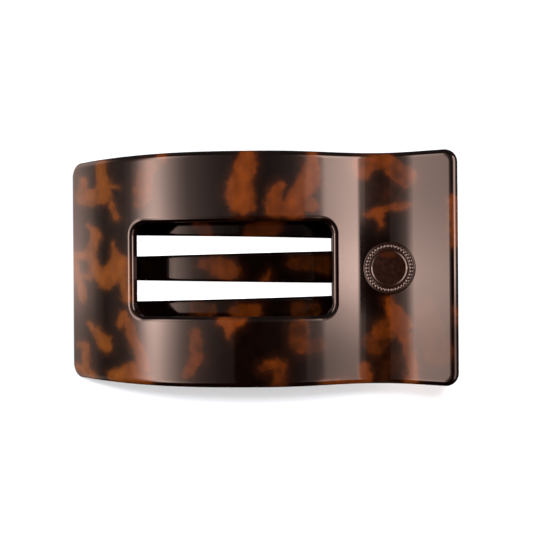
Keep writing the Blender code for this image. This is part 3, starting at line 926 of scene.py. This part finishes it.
# Amber patches in the plate. Each runs from one round end (x, y, radius) to another, in mm,
# and a weaker one ends with its strength.
PLATE_PATCHES = (
    # free end, upper corner
    (-40.2, 20.6, 1.1, -40.6, 17.2, 1.6),
    (-40.4, 16.6, 1.9, -35.4, 16.6, 2.1),
    (-35.2, 17.4, 1.9, -35.0, 24.4, 1.2),
    (-34.0, 19.0, 1.0, -31.3, 18.2, 0.1),
    (-32.8, 15.0, 0.6, -31.5, 11.7, 0.9, 0.8),
    # free end, middle
    (-38.8, 10.2, 0.4, -37.0, 7.4, 1.3),
    (-37.2, 7.4, 1.3, -38.6, 3.6, 1.5),
    (-38.5, 3.6, 1.4, -42.1, 3.4, 1.1),
    (-42.0, 2.6, 0.7, -41.8, -1.4, 0.9),
    (-38.0, 3.0, 1.1, -37.0, 0.0, 1.6),
    (-41.3, -2.1, 0.9, -38.0, -1.2, 0.9),
    (-41.2, -2.6, 1.4, -40.4, -6.8, 0.8),
    (-37.1, 0.0, 1.8, -34.0, -1.8, 2.4),
    (-34.2, -1.7, 2.4, -31.0, -0.2, 2.5),
    (-32.2, 6.0, 0.3, -31.2, 1.2, 1.9),
    (-30.2, 2.1, 1.5, -29.0, -6.4, 1.1),
    (-29.7, -10.2, 1.0, -31.4, -12.5, 0.6, 0.9),
    (-28.8, -11.2, 1.2, -27.4, -16.0, 1.2, 0.95),
    (-27.4, -16.0, 1.2, -25.2, -21.6, 1.5, 0.95),
    # free end, lower corner
    (-38.6, -12.0, 0.5, -34.5, -16.8, 1.6),
    (-41.7, -17.2, 0.6, -39.9, -17.5, 0.8, 0.9),
    (-39.7, -17.8, 1.1, -39.6, -22.0, 1.1),
    (-41.8, -22.4, 1.1, -38.8, -24.4, 1.6),
    (-32.0, -24.0, 1.8, -28.4, -22.5, 2.2),
    (-28.2, -23.6, 2.1, -24.4, -24.8, 1.4),
    # dome
    (-23.6, 22.6, 1.6, -25.6, 17.4, 2.0, 0.6),
    (-25.6, 17.4, 1.9, -26.3, 14.8, 0.9, 0.6),
    (-21.3, 25.2, 0.9, -20.4, 24.8, 0.7, 0.9),
    (-13.4, -13.6, 0.6, -13.3, -19.2, 1.2, 0.6),
    (-13.3, -19.2, 1.2, -15.6, -23.0, 0.9, 0.6),
    (-1.8, 25.6, 1.4, -2.8, 20.4, 2.5),
    (-3.7, 17.8, 2.8, -3.6, 14.6, 2.8),
    (-7.4, -11.2, 0.9, -3.6, -11.2, 0.7),
    (-5.9, -11.8, 1.6, -6.1, -14.8, 0.2),
    (4.8, 17.7, 1.1, 3.7, 14.2, 2.1, 0.8),
    (3.7, 12.9, 1.6, 8.4, 13.0, 1.8, 0.85),
    (8.0, 14.2, 1.9, 11.2, 18.3, 2.4),
    (11.2, 18.3, 2.4, 12.1, 24.0, 1.5),
    (10.6, 15.0, 1.9, 12.6, 13.4, 1.2, 0.7),
    (8.9, -13.2, 1.7, 9.3, -16.4, 1.7, 0.47),
    (9.3, -16.6, 1.5, 12.8, -16.6, 1.1, 0.42),
    (4.8, -20.8, 1.0, 4.5, -25.2, 1.2, 0.58),
    (1.6, -21.3, 0.7, 4.3, -20.6, 0.9, 0.6),
    (15.0, -25.3, 0.7, 23.0, -25.4, 0.7, 0.8),
    # over the hinge
    (22.3, 22.4, 1.5, 25.6, 23.2, 1.8, 0.75),
    (23.0, 20.6, 1.4, 24.2, 21.8, 1.2, 0.8),
    (25.9, 24.3, 1.0, 28.6, 23.6, 1.2, 0.8),
    (28.8, 22.8, 1.6, 32.6, 19.8, 2.0, 0.62),
    (24.2, 11.8, 0.7, 33.0, 13.9, 0.9, 0.8),
    (26.4, 12.2, 1.3, 26.9, 9.8, 0.7, 0.9),
    (29.0, -6.9, 0.9, 31.1, -11.9, 2.4, 0.95),
    (30.9, -12.2, 2.2, 27.2, -13.6, 2.0, 0.58),
    (28.4, -13.8, 2.2, 25.6, -16.0, 2.1, 0.46),
    (32.2, -13.2, 1.2, 33.2, -18.6, 0.8, 0.75),
    (33.4, -19.4, 1.0, 33.6, -24.6, 1.5, 0.9),
    (23.2, -21.8, 1.0, 23.7, -25.4, 1.3, 0.8),
    (27.4, 18.4, 3.2, 28.0, 15.6, 3.0, 0.06),
    (28.0, -18.6, 3.2, 28.6, -22.6, 2.6, 0.04),
    # thumb tab
    (36.6, -9.6, 1.6, 38.8, -18.0, 2.4, 0.3),
    (42.3, 14.4, 1.2, 43.0, 5.6, 1.2),
    (42.9, -9.6, 0.7, 43.2, -11.6, 0.7, 0.9),
)

# The same for the fork.
FORK_PATCHES = (
    (-12.8, 1.2, 0.9, -9.5, 0.9, 1.6, 0.7),
    (-9.2, 0.6, 2.1, -6.2, -0.6, 2.2),
    (-13.8, 9.8, 1.2, -11.8, 8.4, 1.6, 0.85),
    (-1.8, 8.2, 1.3, 3.6, 9.8, 2.1),
    (-14.2, -9.0, 1.2, -10.4, -9.2, 1.0, 0.55),
    (-5.0, -9.3, 1.4, -0.6, -9.6, 1.8, 0.9),
    (9.2, -9.3, 1.6, 12.6, -9.6, 1.5, 0.55),
    (1.5, -2.8, 0.9, 2.4, -0.9, 0.2, 0.9),
    (7.8, 1.5, 0.9, 16.0, 0.6, 1.7, 0.5),
    # behind the plate
    (-36.0, 1.5, 0.8, -32.5, -0.5, 1.9),
    (-35.6, 10.6, 1.4, -30.6, 13.0, 1.9),
    (-33.6, -12.6, 1.9, -28.6, -10.0, 0.6),
    (-22.6, 12.4, 0.8, -18.0, 15.2, 1.7),
    (-12.0, -13.0, 1.8, -4.2, -15.0, 1.0),
    (6.4, 16.2, 1.9, 10.6, 13.6, 0.5),
    (15.4, -15.6, 0.8, 20.6, -11.6, 2.4),
    (21.0, 13.0, 2.1, 23.2, 8.0, 1.0),
    (23.0, 0.0, 2.0, 27.4, 1.6, 0.8),
    (28.6, -18.6, 1.9, 29.6, -13.6, 0.6),
    (31.0, 15.8, 0.8, 35.6, 12.6, 2.3),
    (35.4, 5.8, 1.9, 36.8, 0.0, 0.7),
    (36.4, -11.2, 1.0, 40.2, -7.0, 2.2),
    (39.4, -17.6, 2.0, 41.8, -16.6, 1.0),
    (40.0, 14.4, 0.7, 41.0, 19.0, 1.8),
)

# From clear dark to the heart of an amber patch, by how deep inside a patch a point lies.
DARKEST = (0.0014, 0.00042, 0.00020)
DARK = (0.0046, 0.0013, 0.00048)
RUST = (0.0152, 0.0039, 0.0008)
AMBER = (0.048, 0.0111, 0.0012)
BRIGHT_AMBER = (0.062, 0.0152, 0.0019)
COLOUR_STOPS = ((0.0, DARKEST), (0.4, DARK), (0.57, RUST), (0.73, AMBER), (1.0, BRIGHT_AMBER))
# Painted light: the clouds turn lighter and golden towards the free end, standing in
# for the extra light that the steep free end catches.
PAINTED_END_LIGHT_TINT = (1.32, 1.75, 2.0)
PAINTED_END_LIGHT_X = (-32.0, -24.0)
# A patch weaker than 1 is no deeper than this, by its strength.
DEPTH_BY_STRENGTH = 1.5
DEPTH_AT_ZERO = -0.9
# Patches run together over this far, in mm, and their edges wander by these.
PATCH_JOIN = 0.9
BROAD_SHIFT = 2.2
RAGGED_SHIFT = 1.1
CLOUD_DEPTH = (0.1, 0.5)
DEPTH_RANGE = (-2.2, 1.7)
STREAK_SHADE = (0.78, 1.2)
PLASTIC_IOR = 1.5
POLISH = (0.045, 0.085)
WEAR_SPREAD = (0.3, 0.75)
GRAIN_HEIGHT = 0.012


def inside_patch(nodes, flat, patch):
    """How deep inside a patch a point lies, in mm: below 0 outside it."""
    x, y, radius, end_x, end_y, end_radius, *weaker = patch
    run = Vector((end_x - x, end_y - y, 0.0))
    off = nodes.vector("SUBTRACT", flat, (x, y, 0.0))
    part = nodes.vector("DOT_PRODUCT", off, run / run.length_squared)
    part = nodes.maths("MINIMUM", nodes.maths("MAXIMUM", part, 0.0), 1.0)
    along = nodes.vector("SCALE", run, scale=part)
    away = nodes.vector("LENGTH", nodes.vector("SUBTRACT", off, along))
    reach = nodes.maths("MULTIPLY_ADD", part, end_radius - radius, radius)
    inside = nodes.maths("SUBTRACT", reach, away)
    if weaker:
        deepest = DEPTH_BY_STRENGTH * weaker[0] + DEPTH_AT_ZERO
        inside = nodes.maths("MINIMUM", inside, deepest)
    return inside


def tortoise_material(name, patches, painted_shade_lightness, gloss):
    """Dark brown acetate with amber clouds in it, soft at their edges, and a polished face."""
    material, nodes = start_material(name)
    place = nodes.object_place()
    broad = nodes.noise(place, scale=0.17, output="Color")
    fine = nodes.noise(place, scale=0.8, roughness=0.45, output="Color")
    half = (0.5, 0.5, 0.5)
    shift = nodes.vector("SCALE", nodes.vector("SUBTRACT", broad, half), scale=BROAD_SHIFT)
    ragged = nodes.vector("SCALE", nodes.vector("SUBTRACT", fine, half), scale=RAGGED_SHIFT)
    moved = nodes.vector("ADD", nodes.vector("ADD", place, shift), ragged)
    flat = nodes.vector("MULTIPLY", moved, (1.0, 1.0, 0.0))
    field = inside_patch(nodes, flat, patches[0])
    for patch in patches[1:]:
        field = nodes.maths("SMOOTH_MAX", field, inside_patch(nodes, flat, patch), PATCH_JOIN)
    clouds = nodes.noise(place, scale=0.42, detail=1.0, roughness=0.4)
    field = nodes.maths("ADD", field, nodes.noisy(clouds, *CLOUD_DEPTH))
    depth = nodes.span(field, *DEPTH_RANGE, 0.0, 1.0)
    colour = nodes.ramp(depth, COLOUR_STOPS)
    stretched = nodes.vector("MULTIPLY", place, (1.0, 0.6, 1.0))
    streaks = nodes.noise(stretched, scale=0.5, roughness=0.4)
    darkest, lightest = STREAK_SHADE
    # A lightness under 1 darkens the whole copy: painted shade.
    shade = nodes.noisy(streaks, darkest * painted_shade_lightness, lightest * painted_shade_lightness)
    colour = nodes.vector("SCALE", colour, scale=shade)
    # Painted light: lighter, golden colour towards the free end.
    along = nodes.add("ShaderNodeSeparateXYZ")
    nodes.feed(along.inputs[0], place)
    painted_end_light = nodes.span(along.outputs["X"], *PAINTED_END_LIGHT_X, 1.0, 0.0, smooth=True)
    tint = nodes.mix(painted_end_light, (1.0, 1.0, 1.0, 1.0), (*PAINTED_END_LIGHT_TINT, 1.0))
    colour = nodes.vector("MULTIPLY", colour, tint)
    wear = nodes.noise(place, scale=1.6, detail=4.0, roughness=0.65)
    roughness = nodes.span(wear, *WEAR_SPREAD, *POLISH)
    waves = nodes.noise(place, scale=0.085, detail=1.0)
    grain = nodes.noise(place, scale=2.6)
    height = nodes.maths("MULTIPLY_ADD", grain, GRAIN_HEIGHT, waves)
    nodes.surface(
        Base_Color=colour,
        Roughness=roughness,
        IOR=PLASTIC_IOR,
        Specular_IOR_Level=gloss,
        Normal=nodes.bump(height, strength=0.35, distance=0.05 * MM),
    )
    return material


BADGE_DARK = (0.0034, 0.0012, 0.0008)
BADGE_LIGHT = (0.0092, 0.0032, 0.0020)
BADGE_POLISH = (0.06, 0.11)
# Its amber cloud lies across the upper part of the middle. Place in mm, and its squash.
BADGE_CLOUD = (28.6, 2.9, 0.0)
BADGE_CLOUD_SQUASH = (0.42, 1.1, 0.0)
BADGE_CLOUD_EDGE = (1.0, 1.5)
BADGE_CLOUD_STRENGTH = 0.9


def badge_material():
    """Dark brown moulded plastic, polished like the plate, with one small amber cloud."""
    material, nodes = start_material("badge_brown")
    place = nodes.object_place()
    fine = nodes.noise(place, scale=1.1, detail=4.0, roughness=0.6)
    off = nodes.vector("SUBTRACT", place, BADGE_CLOUD)
    off = nodes.vector("MULTIPLY", off, BADGE_CLOUD_SQUASH)
    away = nodes.maths("ADD", nodes.vector("LENGTH", off), fine)
    cloud = nodes.span(away, *BADGE_CLOUD_EDGE, BADGE_CLOUD_STRENGTH, 0.0, smooth=True)
    mottle = nodes.noisy(fine, 0.0, 1.0)
    base = nodes.mix(mottle, (*BADGE_DARK, 1.0), (*BADGE_LIGHT, 1.0))
    skin = nodes.noise(place, scale=5.0, detail=3.0)
    nodes.surface(
        Base_Color=nodes.mix(cloud, base, (*RUST, 1.0)),
        Roughness=nodes.noisy(fine, *BADGE_POLISH),
        IOR=PLASTIC_IOR,
        Normal=nodes.bump(skin, strength=0.2, distance=0.01 * MM),
    )
    return material


STAIN_DARKNESS = 0.72
STAIN_SPREAD = (0.35, 0.7)
STEEL_POLISH = (0.18, 0.38)


def steel_material(name, stretch, tint):
    """Drawn steel: fine lines, stretched along a straight wire, and an uneven colour."""
    material, nodes = start_material(name)
    place = nodes.object_place()
    stretched = nodes.vector("MULTIPLY", place, stretch)
    lines = nodes.noise(stretched, scale=7.0, detail=4.0, roughness=0.65)
    stains = nodes.noise(place, scale=0.7, detail=3.0, roughness=0.6)
    stained = nodes.span(stains, *STAIN_SPREAD, 0.0, 1.0)
    dark = tuple(STAIN_DARKNESS * c for c in tint)
    nodes.surface(
        Base_Color=nodes.mix(stained, (*tint, 1.0), (*dark, 1.0)),
        Metallic=1.0,
        Roughness=nodes.noisy(lines, *STEEL_POLISH),
        Normal=nodes.bump(lines, strength=0.4, distance=0.02 * MM),
    )
    return material


def dress(thing, material, body, node):
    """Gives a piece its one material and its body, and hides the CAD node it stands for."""
    mesh = thing.data
    mesh.materials.clear()
    mesh.materials.append(material)
    for polygon in mesh.polygons:
        polygon.material_index = 0
    if body:
        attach(thing, body)
    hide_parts(node)


plate = make_plate()
fork = make_fork()
pin = make_pin()
badge = make_badge()
spring = make_spring()

dress(
    plate,
    tortoise_material("tortoise_plate", PLATE_PATCHES, painted_shade_lightness=1.0, gloss=0.5),
    PLATE_BODY,
    "front_plate",
)
# Painted shade: the fork is a darker, less glossy copy of the plate's tortoiseshell, for the
# shade it lies in under the plate.
dress(
    fork,
    tortoise_material("tortoise_fork", FORK_PATCHES, painted_shade_lightness=0.62, gloss=0.22),
    FORK_BODY,
    "back_fork",
)
dress(badge, badge_material(), PLATE_BODY, "medallion")
dress(
    pin,
    steel_material("pin_drawn_steel", stretch=(1.0, 0.06, 1.0), tint=(0.62, 0.61, 0.60)),
    PLATE_BODY,
    "hinge_pin",
)
dress(
    spring,
    steel_material("spring_drawn_steel", stretch=(1.0, 1.0, 1.0), tint=(0.58, 0.58, 0.59)),
    None,
    "torsion_spring",
)
# One leg lies against the plate and the other against the fork, with the coil between them.
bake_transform(spring)


# Floor, light and camera.
FLOOR_COLOUR = (0.40, 0.45, 0.50, 1.0)
FLOOR_GLOW = (0.16, 0.25, 0.27, 1.0)
FLOOR_RADIUS = 3.0
FLOOR_SIDES = 96
FLOOR_ROUGHNESS = 0.9
# Painted light: a strong glow under the window keeps the floor white in the slots,
# where the clip shades it. Its middle, one over its half sizes, and its soft edge.
PAINTED_GLOW_PATCH = (-0.007, 0.0, 0.0)
PAINTED_GLOW_PATCH_SQUASH = (30.0, 62.0, 0.0)
PAINTED_GLOW_PATCH_EDGE = (0.75, 1.25)


def make_floor():
    """A pale disc with a faint glow of its own, and a painted glow where the slots show it."""
    bm = bmesh.new()
    bmesh.ops.create_circle(bm, cap_ends=True, segments=FLOOR_SIDES, radius=FLOOR_RADIUS)
    mesh = bpy.data.meshes.new("floor")
    bm.to_mesh(mesh)
    bm.free()
    floor = add_object("floor", mesh)
    material, nodes = start_material("pale_floor")
    place = nodes.add("ShaderNodeTexCoord").outputs["Object"]
    off = nodes.vector("SUBTRACT", place, PAINTED_GLOW_PATCH)
    away = nodes.vector("LENGTH", nodes.vector("MULTIPLY", off, PAINTED_GLOW_PATCH_SQUASH))
    # Painted light: the mask of the strong glow under the window.
    painted_glow_mask = nodes.span(away, *PAINTED_GLOW_PATCH_EDGE, 1.0, 0.0, smooth=True)
    floor_and_painted_glow = nodes.mix(painted_glow_mask, FLOOR_GLOW, (1.0, 1.0, 1.0, 1.0))
    nodes.surface(
        Base_Color=FLOOR_COLOUR,
        Roughness=FLOOR_ROUGHNESS,
        Specular_IOR_Level=0.0,
        Emission_Color=floor_and_painted_glow,
        Emission_Strength=1.0,
    )
    mesh.materials.append(material)
    floor.visible_glossy = False


# Brightness of each softbox against the angle from overhead, as (degrees, brightness).
LEFT_BOX = (
    (0.0, 0.0),
    (10.9, 0.0),
    (11.2, 0.2),
    (16.0, 0.25),
    (21.0, 0.42),
    (26.0, 0.7),
    (31.0, 1.15),
    (34.0, 2.0),
    (37.0, 3.2),
    (40.0, 4.5),
    (43.0, 6.1),
    (46.5, 8.4),
    (50.0, 9.6),
    (53.5, 8.4),
    (57.5, 4.9),
    (61.0, 2.1),
    (65.0, 0.7),
    (70.0, 0.3),
    (84.0, 0.12),
    (90.0, 0.4),
    (95.0, 1.0),
    (106.0, 1.7),
    (130.0, 1.7),
    (145.0, 0.5),
    (150.0, 0.0),
)
RIGHT_BOX_NEAR = (
    (0.0, 0.02),
    (8.0, 0.1),
    (14.0, 0.25),
    (19.8, 0.6),
    (20.3, 1.5),
    (24.0, 1.8),
    (26.5, 2.6),
    (28.6, 0.0),
)
RIGHT_BOX_FAR = (
    (0.0, 0.0),
    (26.5, 0.0),
    (28.6, 6.0),
    (30.0, 10.2),
    (34.0, 10.0),
    (46.0, 9.0),
    (56.0, 5.0),
    (64.0, 1.0),
    (76.0, 0.35),
    (90.0, 0.4),
)
FURTHEST = 150.0

# How the boxes change with tilt, the angle out of the XZ plane, in degrees. Each hot middle
# is (tilt, width, strength, level round it), and the rest are (from, to, level, new level).
LEFT_HOT = (-0.6, 2.6, 0.7, 0.93)
RIGHT_HOT = (0.0, 1.6, 0.4, 1.0)
LEFT_LOW_PART = (-97.0, -86.0, 1.0, 0.0)
LEFT_LOW_DIMMING = (-3.0, -0.2, 0.42, 0.0)
RIGHT_NOTCH = (1.9, 2.6, 0.04, 1.0)
RIGHT_FALLING = (-5.0, -0.5, 0.34, 1.0)
BOX_ENDS = (34.0, 44.0, 1.0, 0.0)
BOX_TINT = (1.13, 0.78, 0.67)
OVERHEAD = (0.6, 2.2, 0.012, 0.12)
OVERHEAD_TINT = (1.0, 0.95, 0.93)


def softbox(nodes, angle, stops):
    """A softbox's brightness at an angle from overhead."""
    peak = max(brightness for _, brightness in stops)
    level = nodes.maths("DIVIDE", angle, FURTHEST, clamp=True)
    ramp = [(degrees / FURTHEST, (b / peak,) * 3) for degrees, b in stops]
    shape = nodes.ramp(level, ramp)
    return nodes.maths("MULTIPLY", shape, peak)


def hot_middle(nodes, tilt, hot):
    """A level that is raised about one tilt and fades over some degrees to each side."""
    middle, width, strength, around = hot
    off = nodes.maths("DIVIDE", nodes.maths("SUBTRACT", tilt, middle), width)
    fading = nodes.maths("MULTIPLY", nodes.maths("MULTIPLY", off, off), -1.0)
    return nodes.maths("MULTIPLY_ADD", nodes.maths("EXPONENT", fading), strength, around)


def make_world():
    """A dark studio with a long softbox on each side, and a pale backdrop behind the object."""
    world = bpy.data.worlds.new("studio")
    world.use_nodes = True
    bpy.context.scene.world = world
    nodes = Nodes(world)
    way = nodes.add("ShaderNodeTexCoord").outputs["Generated"]
    parts = nodes.add("ShaderNodeSeparateXYZ")
    nodes.feed(parts.inputs[0], way)
    x, y, z = parts.outputs
    across = nodes.maths("MULTIPLY", nodes.maths("ARCTAN2", x, z), 180 / math.pi)
    tilt = nodes.maths("MULTIPLY", nodes.maths("ARCSINE", y), 180 / math.pi)
    tilt_size = nodes.maths("ABSOLUTE", tilt)

    left = softbox(nodes, nodes.maths("MULTIPLY", across, -1.0), LEFT_BOX)
    left = nodes.maths("MULTIPLY", left, hot_middle(nodes, tilt, LEFT_HOT))
    low = nodes.span(across, *LEFT_LOW_PART, smooth=True)
    dimmed = nodes.span(tilt, *LEFT_LOW_DIMMING, smooth=True)
    kept = nodes.maths("SUBTRACT", 1.0, nodes.maths("MULTIPLY", low, dimmed))
    left = nodes.maths("MULTIPLY", left, kept)

    near = softbox(nodes, across, RIGHT_BOX_NEAR)
    notch = nodes.span(tilt_size, *RIGHT_NOTCH, smooth=True)
    near = nodes.maths("MULTIPLY", near, notch)
    far = softbox(nodes, across, RIGHT_BOX_FAR)
    far = nodes.maths("MULTIPLY", far, hot_middle(nodes, tilt, RIGHT_HOT))
    falling = nodes.span(tilt, *RIGHT_FALLING, smooth=True)
    right = nodes.maths("MULTIPLY", nodes.maths("ADD", near, far), falling)
    right = nodes.maths("MULTIPLY", right, nodes.maths("GREATER_THAN", z, 0.0))

    reach = nodes.span(tilt_size, *BOX_ENDS, smooth=True)
    both = nodes.maths("MULTIPLY", nodes.maths("ADD", left, right), reach)
    overhead = nodes.span(tilt, *OVERHEAD, smooth=True)
    light = nodes.vector(
        "ADD",
        nodes.vector("SCALE", BOX_TINT, scale=both),
        nodes.vector("SCALE", OVERHEAD_TINT, scale=overhead),
    )
    seen = nodes.add("ShaderNodeLightPath").outputs["Is Camera Ray"]
    colour = nodes.mix(seen, light, (1.0, 1.0, 1.0, 1.0))
    background = nodes.add("ShaderNodeBackground")
    nodes.feed(background.inputs["Color"], colour)
    output = nodes.add("ShaderNodeOutputWorld")
    nodes.tree.links.new(background.outputs[0], output.inputs["Surface"])


KEY_SIZE = 0.16
KEY_ENERGY = 14.0
KEY_PLACE = (0.0, 0.26, 1.1)


def make_key():
    """A soft lamp high on the far side, which no gloss shows. It draws the shadow forward."""
    lamp = bpy.data.lights.new("key", "AREA")
    lamp.shape = "DISK"
    lamp.size = KEY_SIZE
    lamp.energy = KEY_ENERGY
    key = add_object("key", lamp)
    key.location = KEY_PLACE
    key.rotation_euler = (-math.atan2(KEY_PLACE[1], KEY_PLACE[2]), 0.0, 0.0)
    key.visible_glossy = False
    key.visible_camera = False


LENS = 76.5
SENSOR_WIDTH = 36.0
CLIP_START = 0.01
CAMERA_PLACE = (2.0 * MM, 0.52 * MM, 266.5 * MM)
CAMERA_ROLL = -0.42


def make_camera():
    """A camera straight above the clip, looking down."""
    data = bpy.data.cameras.new("camera")
    data.lens = LENS
    data.sensor_width = SENSOR_WIDTH
    data.clip_start = CLIP_START
    camera = add_object("camera", data)
    camera.location = CAMERA_PLACE
    camera.rotation_euler = (0.0, 0.0, math.radians(CAMERA_ROLL))
    bpy.context.scene.camera = camera


make_floor()
make_world()
make_key()
make_camera()
bpy.context.scene.view_settings.view_transform = "Standard"
bpy.context.view_layer.update()
